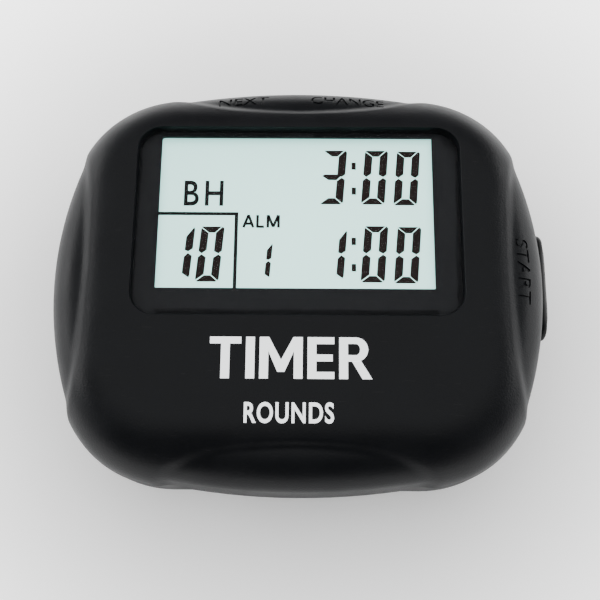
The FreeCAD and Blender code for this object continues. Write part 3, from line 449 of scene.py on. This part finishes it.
BLACK = surface("case_black", (0.0042, 0.0046, 0.0054), (0.0052, 0.0057, 0.0066), (0.36, 0.44),
                grain=4200.0, relief=0.000034, specular=0.065, worn=(0.010, 0.010, 0.011))
BLACK_REAR = surface("rear_black", (0.0042, 0.0044, 0.0050), (0.0054, 0.0056, 0.0062), (0.40, 0.50),
                     grain=4600.0, relief=0.000014, specular=0.14, worn=(0.014, 0.014, 0.015))
BUTTON = surface("button_black", (0.0026, 0.0027, 0.0030), (0.0034, 0.0035, 0.0038), (0.40, 0.48),
                 grain=6000.0, relief=0.000005, specular=0.045, worn=(0.012, 0.012, 0.013))
BORDER = surface("border_black", (0.0062, 0.0068, 0.0080), (0.0074, 0.0081, 0.0094), (0.40, 0.50),
                 specular=0.08)
# White print with painted light: its emission brightens the ink beyond what the lamps give.
WHITE_PRINT_PAINTED_LIGHT = surface("white_print_painted_light", (0.80, 0.81, 0.82), (0.88, 0.89, 0.90), (0.42, 0.55),
                      grain=7000.0, relief=0.000006, painted_emission=(0.92, 0.97, 1.0, 0.8))
# Reflective display face with painted light: its emission brightens it beyond what the lamps give.
LCD_FACE_PAINTED_LIGHT = surface("display_face_painted_light", (0.56, 0.80, 0.75), (0.58, 0.82, 0.77), (0.30, 0.36),
                   grain=9000.0, relief=0.000001, painted_emission=(0.39, 0.82, 0.75, 1.6))
LCD_INK = surface("display_ink", (0.0085, 0.0042, 0.0032), (0.0110, 0.0058, 0.0046), (0.50, 0.60),
                  specular=0.08)
LCD_RULE = surface("display_rule", (0.0040, 0.0038, 0.0040), (0.0052, 0.0050, 0.0050), (0.50, 0.60),
                   specular=0.08)
CLEAR = clear_window()
STEEL = surface("steel", (0.50, 0.50, 0.51), (0.62, 0.62, 0.63), (0.22, 0.40), grain=2600.0,
                relief=0.000004, metal=1.0)
BRASS = surface("brass", (0.55, 0.38, 0.15), (0.68, 0.50, 0.22), (0.25, 0.42), grain=2600.0,
                relief=0.000004, metal=1.0)
NATURAL = surface("natural_plastic", (0.62, 0.61, 0.57), (0.70, 0.69, 0.65), (0.40, 0.52),
                  grain=3000.0, relief=0.000006)
SOLDER_MASK = surface("solder_mask", (0.010, 0.075, 0.030), (0.016, 0.105, 0.045), (0.22, 0.36),
                      grain=1800.0, relief=0.000006)
SILICONE = surface("silicone", (0.18, 0.18, 0.20), (0.26, 0.26, 0.28), (0.55, 0.70), grain=3000.0,
                   relief=0.000008)
CERAMIC = surface("ceramic", (0.55, 0.52, 0.45), (0.70, 0.67, 0.58), (0.35, 0.50), grain=3000.0,
                  relief=0.000005)
RED_LEAD = surface("red_lead", (0.32, 0.012, 0.012), (0.42, 0.022, 0.020), (0.40, 0.50), relief=0.000004)
JACKET = surface("cell_jacket", (0.012, 0.050, 0.160), (0.020, 0.070, 0.200), (0.20, 0.30))

SLOT_MATERIAL = {
    "case_front": BLACK, "case_rear": BLACK_REAR, "button_black": BUTTON, "window_clear": CLEAR,
    "window_print": BORDER, "tape": BORDER, "lcd_glass": CLEAR, "lcd_film": LCD_FACE_PAINTED_LIGHT,
    "lcd_back": LCD_FACE_PAINTED_LIGHT, "frame_white": NATURAL, "zebra": SILICONE, "board_green": SOLDER_MASK,
    "epoxy": BUTTON, "tin": STEEL, "ceramic_part": CERAMIC, "screw_steel": STEEL,
    "spring_steel": STEEL, "contact_plate": STEEL, "switch_body": BLACK_REAR,
    "buzzer_brass": BRASS, "buzzer_white": CERAMIC, "cell_can": STEEL, "cell_core": BLACK_REAR,
    "cell_jacket": JACKET, "motor_steel": STEEL, "weight_brass": BRASS, "lead_red": RED_LEAD,
    "lead_black": BUTTON, "clip_black": BUTTON,
}


def dress_frame():
    """Give every CAD node the finish of its slot."""
    for entry in frame["record"]["subparts"]:
        node = frame["nodes"][entry["node"]]
        node.data.materials.clear()
        node.data.materials.append(SLOT_MATERIAL[entry["material_slot"]])


# ---- front case --------------------------------------------------------------

def front_shell():
    """Hollow front half as one closed mesh, before its openings."""
    across = 540
    azimuths = np.linspace(0, 2 * math.pi, across, endpoint=False)
    rise = np.radians(np.concatenate([
        np.linspace(0, 18.2, 108), np.linspace(18.5, 25, 20), np.linspace(27, 84, 12)]))
    inner_rise = np.radians(np.concatenate([np.linspace(0, 18, 16), np.linspace(24, 84, 5)]))
    outer = march(front_distance, azimuths, rise)
    inner = march(cavity_distance, azimuths, inner_rise)
    lift = np.array([0, 0, SPLIT_Z])
    outer = np.minimum(outer, np.array([np.inf, np.inf, CROWN_UP - PRINT_THICK]))
    vertices = [tuple(p) for p in (outer.reshape(-1, 3) + lift)]
    vertices += [tuple(p) for p in (inner.reshape(-1, 3) + lift)]
    faces = []
    rows_outer = len(rise)
    rows_inner = len(inner_rise)
    base = rows_outer * across

    def index(row, k, start):
        return start + row * across + k % across

    for row in range(rows_outer - 1):
        for k in range(across):
            faces.append((index(row, k, 0), index(row, k + 1, 0),
                          index(row + 1, k + 1, 0), index(row + 1, k, 0)))
    for row in range(rows_inner - 1):
        for k in range(across):
            faces.append((index(row, k, base), index(row + 1, k, base),
                          index(row + 1, k + 1, base), index(row, k + 1, base)))
    for k in range(across):
        faces.append((index(0, k, 0), index(0, k, base), index(0, k + 1, base), index(0, k + 1, 0)))
    faces.append(tuple(index(rows_outer - 1, k, 0) for k in range(across)))
    faces.append(tuple(index(rows_inner - 1, k, base) for k in reversed(range(across))))
    return add_object("front_shell", vertices, faces)


def button_cutter(node, axis):
    """Pill-shaped opening around a button."""
    low, high = (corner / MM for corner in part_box(node))
    lip = BUTTON_LIP - BUTTON_GAP
    centre_z = (low.z + high.z) / 2
    half_z = (high.z - low.z) / 2 - lip
    if axis == "x":
        centre = ((low.y + high.y) / 2, centre_z)
        half = (high.y - low.y) / 2 - lip
        levels = [(RIGHT_INSIDE, half, half_z), (high.x + 2, half, half_z)]
    else:
        centre = ((low.x + high.x) / 2, centre_z)
        half = (high.x - low.x) / 2 - lip
        levels = [(TOP_INSIDE, half, half_z), (high.y + 2, half, half_z)]
    return lofted("cut_" + node, levels, centre, half_z - 0.02, 12, axis)


def window_recess():
    """Stepped cutter: the window's recess with a broken edge, then the view opening."""
    middle = ((LENS_LOW.x + LENS_HIGH.x) / 2, (LENS_LOW.y + LENS_HIGH.y) / 2)
    gap = 0.18
    half = ((LENS_HIGH.x - LENS_LOW.x) / 2 + gap, (LENS_HIGH.y - LENS_LOW.y) / 2 + gap)
    floor = LENS_LOW.z - 0.25
    levels = [(floor, half[0], half[1]), (PLATEAU_Z - 0.30, half[0], half[1]),
              (PLATEAU_Z - 0.08, half[0] + 0.07, half[1] + 0.07),
              (PLATEAU_Z + 0.02, half[0] + 0.22, half[1] + 0.22),
              (PLATEAU_Z + 2.0, half[0] + 0.22, half[1] + 0.22)]
    recess = lofted("cut_recess", levels, middle, LENS_CORNER + gap + 0.22, 14)
    half_y = (LEDGE_Y[1] - LEDGE_Y[0]) / 2
    view = lofted("cut_view", [(floor - 4, LEDGE_HALF_X, half_y), (floor + 0.4, LEDGE_HALF_X, half_y)],
                  (0, (LEDGE_Y[0] + LEDGE_Y[1]) / 2), 0.4, 4)
    return recess, view


def restore_normals(piece):
    """Shading normals from the distance field on the outer skin; creases stay elsewhere."""
    mesh = piece.data
    smooth(piece, 25)
    places = np.zeros(len(mesh.vertices) * 3)
    mesh.vertices.foreach_get("co", places)
    places = places.reshape(-1, 3) / MM - np.array([0, 0, SPLIT_Z])
    skin_normal = gradient(front_distance, places)
    on_skin = np.abs(front_distance(places)) < 0.03
    corners = np.zeros(len(mesh.loops) * 3, np.float32)
    mesh.corner_normals.foreach_get("vector", corners)
    corners = corners.reshape(-1, 3)
    for polygon in mesh.polygons:
        if all(on_skin[v] for v in polygon.vertices):
            for loop, vertex in zip(polygon.loop_indices, polygon.vertices):
                corners[loop] = skin_normal[vertex]
    mesh.normals_split_custom_set([tuple(n) for n in corners])


def even_normals(piece, angle=35):
    """Smooth shading that keeps the large faces flat."""
    smooth(piece, angle)
    step = piece.modifiers.new("even", "WEIGHTED_NORMAL")
    step.keep_sharp = True
    step.weight = 100
    apply_modifiers(piece)


def make_front_case():
    shell = front_shell()
    recess, view = window_recess()
    carve(shell, recess)
    carve(shell, view)
    openings = [button_cutter("start_button", "x"), button_cutter("next_button", "y"),
                button_cutter("change_button", "y")]
    for opening in openings:
        outward(opening)
        carve(shell, opening)
    words = [wrapped_word("START", 1.95, 9.1, "y", 4.85, math.radians(77), 0.20),
             wrapped_word("NEXT", 1.95, 6.9, "x", -11.2, math.radians(70), 0.22),
             wrapped_word("CHANGE", 1.95, 10.1, "x", 1.65, math.radians(70), 0.22)]
    for word in words:
        carve(shell, word)
    restore_normals(shell)
    shell.name = "front_case_shell"
    finish_piece(shell, BLACK, "case", ["front_case"])


def make_button(node, axis):
    """Button with its retaining flange, a soft rim and a slightly crowned face."""
    low, high = (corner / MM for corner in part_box(node))
    lip, flange, rim = BUTTON_LIP, BUTTON_LIP, 0.85
    crown = 0.42 if axis == "x" else 0.16
    half_z = (high.z - low.z) / 2 - lip
    if axis == "x":
        back, face, centre = low.x, high.x, (low.y + high.y) / 2
        half = (high.y - low.y) / 2 - lip
    else:
        back, face, centre = low.y, high.y, (low.x + high.x) / 2
        half = (high.x - low.x) / 2 - lip
    levels = [(back, half + lip, half_z + lip), (back + flange, half + lip, half_z + lip),
              (back + flange + 0.001, half, half_z)]
    for k in range(9):
        turn = math.radians(11.25 * k)
        inset = rim * (1 - math.cos(turn))
        levels.append((face - crown - rim * (1 - math.sin(turn)), half - inset, half_z - inset))
    for share in (0.30, 0.55, 0.78, 0.94):
        inner = (half - rim) * (1 - share), (half_z - rim) * (1 - share)
        levels.append((face - crown * (1 - share) ** 2, *inner))
    piece = lofted(node + "_pad", levels, (centre, (low.z + high.z) / 2), half_z + lip - 0.05, 12, axis)
    outward(piece)
    even_normals(piece, 40)
    finish_piece(piece, BUTTON, node, [node])


# ---- window and display ------------------------------------------------------

def make_lens():
    middle = ((LENS_LOW.x + LENS_HIGH.x) / 2, (LENS_LOW.y + LENS_HIGH.y) / 2)
    half = ((LENS_HIGH.x - LENS_LOW.x) / 2, (LENS_HIGH.y - LENS_LOW.y) / 2)
    top = LENS_HIGH.z
    levels = [(LENS_LOW.z, half[0], half[1]), (top - 0.28, half[0], half[1]),
              (top - 0.16, half[0] - 0.03, half[1] - 0.03), (top - 0.06, half[0] - 0.11, half[1] - 0.11),
              (top - 0.01, half[0] - 0.24, half[1] - 0.24), (top, half[0] - 0.36, half[1] - 0.36)]
    lens = lofted("window_lens", levels, middle, LENS_CORNER, 16)
    outward(lens)
    even_normals(lens)
    finish_piece(lens, CLEAR, "case", ["display_window"])


VIEW_CENTRE = (-0.30, 8.60)          # clear view inside the printed border
VIEW_HALF = (18.42, 11.10)


def make_border():
    """Dark printed border under the window, a little off centre as it was printed."""
    low, high = (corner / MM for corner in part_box("window_border"))
    middle = ((low.x + high.x) / 2, (low.y + high.y) / 2)
    outer = rounded_loop(middle, ((high.x - low.x) / 2, (high.y - low.y) / 2), 3.0)
    inner = rounded_loop(VIEW_CENTRE, VIEW_HALF, 0.12)
    rings = ((outer, low.z), (outer, high.z), (inner, high.z), (inner, low.z))
    vertices = [(x, y, z) for outline, z in rings for x, y in outline]
    count = len(outer)
    faces = []
    for level in range(4):
        for k in range(count):
            after = (k + 1) % count
            above = (level + 1) % 4 * count
            faces.append((level * count + k, level * count + after, above + after, above + k))
    border = add_object("window_print", vertices, faces)
    outward(border)
    finish_piece(border, BORDER, "case", ["window_border"])


DIGIT_WIDE = 3.20
DIGIT_HIGH = 8.12
W, H, M = DIGIT_WIDE, DIGIT_HIGH, DIGIT_HIGH / 2    # right edge, top and middle of a digit
SEGMENTS = {
    "a": [(0.20, H), (W - 0.42, H), (W - 1.26, H - 0.90), (1.14, H - 0.90), (0.10, H - 0.08)],
    "b": [(W - 0.26, H - 0.02), (W, H - 0.28), (W, M + 0.44), (W - 0.46, M + 0.06),
          (W - 1.10, M + 0.42), (W - 1.10, H - 0.92)],
    "c": [(W - 0.46, M - 0.06), (W, M - 0.38), (W, 0.40), (W - 0.14, 0.18), (W - 1.10, 1.02),
          (W - 1.10, M - 0.58)],
    "d": [(1.14, 0.92), (W - 1.18, 0.92), (W - 0.26, 0.10), (W - 0.44, 0), (0.34, 0), (0.16, 0.10)],
    "e": [(0.46, M - 0.06), (1.10, M - 0.50), (1.10, 1.10), (0.06, 0.24), (0, 0.46), (0, M - 0.50)],
    "f": [(0.02, H - 0.38), (0.08, H - 0.22), (1.10, H - 0.98), (1.10, M + 0.58), (0.46, M + 0.06),
          (0, M + 0.42)],
    "g": [(0.06, M + 0.18), (0.36, M + 0.42), (W - 1.10, M + 0.42), (W - 0.62, M + 0.14),
          (W - 1.16, M - 0.44), (0.94, M - 0.42)],
}
DOT = (0.30, 0.54)                   # half size of the colons' dots
ONE = [[(1.0, 6.60), (0.86, 6.85), (0.0, 5.55), (0.0, 3.72), (0.45, 3.52), (1.0, 3.92)],
       [(0.45, 3.32), (1.0, 2.94), (1.0, 0.30), (0.88, 0.0), (0.0, 0.60), (0.0, 2.80)]]
SLANT = math.tan(math.radians(4.4))
ZERO_STROKES = "abcdef"
THREE_STROKES = "abcdg"


def slanted(outline, x, y, scale=1.0):
    return [(x + scale * (a + SLANT * b), y + scale * b) for a, b in outline]


def plate(outline, low, high):
    """Thin prism of a polygon."""
    if sum(a[0] * b[1] - b[0] * a[1] for a, b in zip(outline, outline[1:] + outline[:1])) < 0:
        outline = outline[::-1]
    return loft([[(x, y, low) for x, y in outline], [(x, y, high) for x, y in outline]])


def bar(start, end, thick):
    """Outline of a straight stroke between two points."""
    along = Vector((end[0] - start[0], end[1] - start[1])).normalized() * thick / 2
    return [(start[0] + along.y, start[1] - along.x), (end[0] + along.y, end[1] - along.x),
            (end[0] - along.y, end[1] + along.x), (start[0] - along.y, start[1] + along.x)]


def alarm_mark(x, y, tall, thick):
    """Strokes of the small word ALM."""
    strokes = [((0.14, 0), (0.80, tall)), ((0.80, tall), (1.46, 0)), ((0.36, 0.56), (1.24, 0.56)),
               ((2.02, 0), (2.02, tall)), ((1.90, 0.12), (2.92, 0.12)),
               ((3.42, 0), (3.42, tall)), ((3.46, tall), (4.14, 0.10)), ((4.14, 0.10), (4.82, tall)),
               ((4.86, 0), (4.86, tall))]
    return [[(x + a, y + b) for a, b in bar(start, end, thick)] for start, end in strokes]


def flat_pieces(name, outlines, low, high, material):
    vertices = []
    faces = []
    for outline in outlines:
        points, sides = plate(outline, low, high)
        faces += [tuple(i + len(vertices) for i in side) for side in sides]
        vertices += points
    piece = add_object(name, vertices, faces)
    outward(piece)
    finish_piece(piece, material, "case")


def make_display():
    """Dark marks that lie on the display's face."""
    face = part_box("lcd_front_film")[1].z / MM
    low, high = face, face + 0.02
    outlines = []

    def digit(strokes, x, y, scale=1.0):
        outlines.extend(slanted(SEGMENTS[s], x, y, scale) for s in strokes)

    def one(x, y, scale=1.0):
        outlines.extend(slanted(part, x, y, scale) for part in ONE)

    digit(THREE_STROKES, 2.84, 10.15)
    digit(ZERO_STROKES, 8.48, 10.15)
    digit(ZERO_STROKES, 12.86, 10.05)
    one(5.10, -0.62)
    digit(ZERO_STROKES, 8.34, -1.18)
    digit(ZERO_STROKES, 12.76, -1.28)
    one(-15.44, -0.62, 1.06)
    digit(ZERO_STROKES, -13.62, -1.20, 0.98)
    one(-4.42, -0.52, 0.70)
    for x, y in ((7.53, 15.92), (7.53, 12.14), (7.48, 4.71), (7.48, 0.91)):
        outlines.append([(x + a * DOT[0], y + b * DOT[1]) for a, b in ((-1, -1), (1, -1), (1, 1), (-1, 1))])
    flat_pieces("display_digits", outlines, low, high, LCD_INK)
    rule_y, rule_x, thick = 8.66, -8.33, 0.24
    left, bottom = -20.6, -3.4
    rules = [[(left, rule_y - thick), (rule_x + thick, rule_y - thick), (rule_x + thick, rule_y + thick),
              (left, rule_y + thick)],
             [(rule_x - thick, bottom), (rule_x + thick, bottom), (rule_x + thick, rule_y - thick),
              (rule_x - thick, rule_y - thick)]]
    flat_pieces("display_rules", rules, low, high, LCD_RULE)
    flat_pieces("display_mark_alm", alarm_mark(-7.50, 6.66, 1.84, 0.36), low, high, LCD_RULE)
    vertices, faces = letters("BH", 3.76, 5.36, high - low, 0.15, 1.27)
    mark = add_object("display_mark_bh", vertices + np.array([-15.56, 9.83, (low + high) / 2]), faces)
    finish_piece(mark, LCD_RULE, "case")


STEM = 1.12                          # upright strokes of the printed title
BAR = 0.92                           # its level strokes


def title_letters(tall):
    """Outlines of the title's letters, each with its left edge and its width."""
    middle = tall * 0.50
    bowl = []
    for k in range(13):
        angle = math.radians(90 - 15 * k)
        bowl.append((2.15 + 1.55 * math.cos(angle), tall - 1.62 + 1.62 * math.sin(angle)))
    inner = []
    for k in range(13):
        angle = math.radians(-90 + 15 * k)
        inner.append((2.15 + 0.52 * math.cos(angle), tall - 1.62 + 0.75 * math.sin(angle)))
    return {
        "T": (4.0, [[(0, tall - BAR), (4.0, tall - BAR), (4.0, tall), (0, tall)],
                    [(1.44, 0), (1.44 + STEM, 0), (1.44 + STEM, tall - BAR), (1.44, tall - BAR)]]),
        "I": (STEM, [[(0, 0), (STEM, 0), (STEM, tall), (0, tall)]]),
        "M": (5.5, [[(0, 0), (STEM, 0), (STEM, tall - 1.9), (2.3, 0.9), (3.2, 0.9),
                     (5.5 - STEM, tall - 1.9), (5.5 - STEM, 0), (5.5, 0), (5.5, tall), (4.3, tall),
                     (2.75, 2.5), (1.2, tall), (0, tall)]]),
        "E": (3.4, [[(0, 0), (3.4, 0), (3.4, BAR), (STEM, BAR), (STEM, middle - BAR / 2),
                     (3.2, middle - BAR / 2), (3.2, middle + BAR / 2), (STEM, middle + BAR / 2),
                     (STEM, tall - BAR), (3.4, tall - BAR), (3.4, tall), (0, tall)]]),
        "R": (4.2, [[(0, 0), (STEM, 0), (STEM, tall), (0, tall)],
                    [(STEM, tall)] + bowl + [(STEM, tall - 3.24), (STEM, tall - 2.37)] + inner
                    + [(STEM, tall - 0.87)],
                    [(1.62, tall - 3.2), (2.75, tall - 3.1), (4.2, 0), (2.95, 0)]]),
    }


def make_print():
    """Generic white words on the plateau."""
    low, high = PLATEAU_Z - PRINT_THICK, PLATEAU_Z - 0.002
    tall, place, gap = 5.55, -11.05, 0.62
    glyphs = title_letters(tall)
    outlines = []
    for letter in "TIMER":
        wide, shapes = glyphs[letter]
        outlines += [[(x + place, y - 15.3) for x, y in shape] for shape in shapes]
        place += wide + gap
    flat_pieces("printed_title", outlines, low, high, WHITE_PRINT_PAINTED_LIGHT)
    vertices, faces = letters("ROUNDS", 2.75, 11.3, high - low, 0.24, 1.12)
    word = add_object("printed_line", vertices + np.array([-6.5, -21.1, (low + high) / 2]), faces)
    finish_piece(word, WHITE_PRINT_PAINTED_LIGHT, "case")


# ---- stage, lights and camera ------------------------------------------------

def make_stage():
    reach = 900
    corners = [(-reach, -reach, 0), (reach, -reach, 0), (reach, reach, 0), (-reach, reach, 0)]
    floor = add_object("floor", corners, [(0, 1, 2, 3)])
    material, tree, shader, place = new_material("floor_white")
    cloud = noise(tree, place, 6.0)
    colour = tint(tree, cloud.outputs["Fac"], (0.86, 0.86, 0.86), (0.88, 0.88, 0.88))
    tree.links.new(colour.outputs["Color"], shader.inputs["Base Color"])
    shader.inputs["Roughness"].default_value = 0.8
    shader.inputs["Emission Color"].default_value = (1, 1, 1, 1)
    # Floor emission is dimmed within about 34 to 95 mm of the middle: a painted soft shadow on the floor
    # around the case.
    radius = tree.nodes.new("ShaderNodeVectorMath")
    radius.operation = "LENGTH"
    tree.links.new(place.outputs["Object"], radius.inputs[0])
    painted_shadow_pool = spread(tree, radius.outputs["Value"], 0.35, 3.1, 0.034, 0.095)
    painted_shadow_pool.interpolation_type = "SMOOTHSTEP"
    tree.links.new(painted_shadow_pool.outputs["Result"], shader.inputs["Emission Strength"])
    floor.data.materials.append(material)


def area_light(name, place, target, size, watts):
    lamp = bpy.data.lights.new(name, "AREA")
    lamp.shape = "RECTANGLE"
    lamp.size, lamp.size_y = size[0] * MM, size[1] * MM
    lamp.energy = watts
    holder = bpy.data.objects.new(name, lamp)
    holder.location = Vector(place) * MM
    direction = (Vector(target) - Vector(place)).normalized()
    holder.rotation_euler = direction.to_track_quat("-Z", "Y").to_euler()
    SCENE.collection.objects.link(holder)


def make_lights():
    world = bpy.data.worlds.new("studio")
    SCENE.world = world
    world.use_nodes = True
    background = world.node_tree.nodes["Background"]
    background.inputs["Color"].default_value = (0.96, 0.98, 1.0, 1)
    background.inputs["Strength"].default_value = 0.07
    middle = (0, 0, 15)
    softboxes = (("left_softbox", (-500, 170, 140), (420, 130), 3.4),
                 ("right_softbox", (500, 170, 140), (420, 130), 2.5),
                 ("back_softbox", (0, 520, 110), (500, 70), 0.08),
                 ("ceiling_softbox", (0, 120, 560), (1000, 760), 6.4))
    for name, place, size, watts in softboxes:
        area_light(name, place, middle, size, watts)


def make_camera():
    """Front view from below the middle, looking at the upper half of the case."""
    tilt, turn, roll = math.radians(20.36), math.radians(1.81), math.radians(-1.33)
    reach = 166.7
    lens_mm = 73.0
    back = Vector((math.sin(turn) * math.sin(tilt), -math.cos(turn) * math.sin(tilt), math.cos(tilt)))
    right = Vector((math.cos(turn), math.sin(turn), 0))
    up = back.cross(right)
    rolled_right = right * math.cos(roll) + up * math.sin(roll)
    rolled_up = up * math.cos(roll) - right * math.sin(roll)
    target = Vector((0.292, -1.431, SPLIT_Z))
    place = (target + back * reach) * MM
    camera = bpy.data.cameras.new("camera")
    camera.lens = lens_mm
    camera.sensor_width = 36
    camera.clip_start = 0.005
    holder = bpy.data.objects.new("camera", camera)
    turned = Matrix((rolled_right, rolled_up, back)).transposed()
    holder.matrix_world = Matrix.Translation(place) @ turned.to_4x4()
    SCENE.collection.objects.link(holder)
    SCENE.camera = holder


make_camera()
make_stage()
make_lights()
dress_frame()
make_front_case()
make_button("start_button", "x")
make_button("next_button", "y")
make_button("change_button", "y")
make_lens()
make_border()
make_display()
make_print()
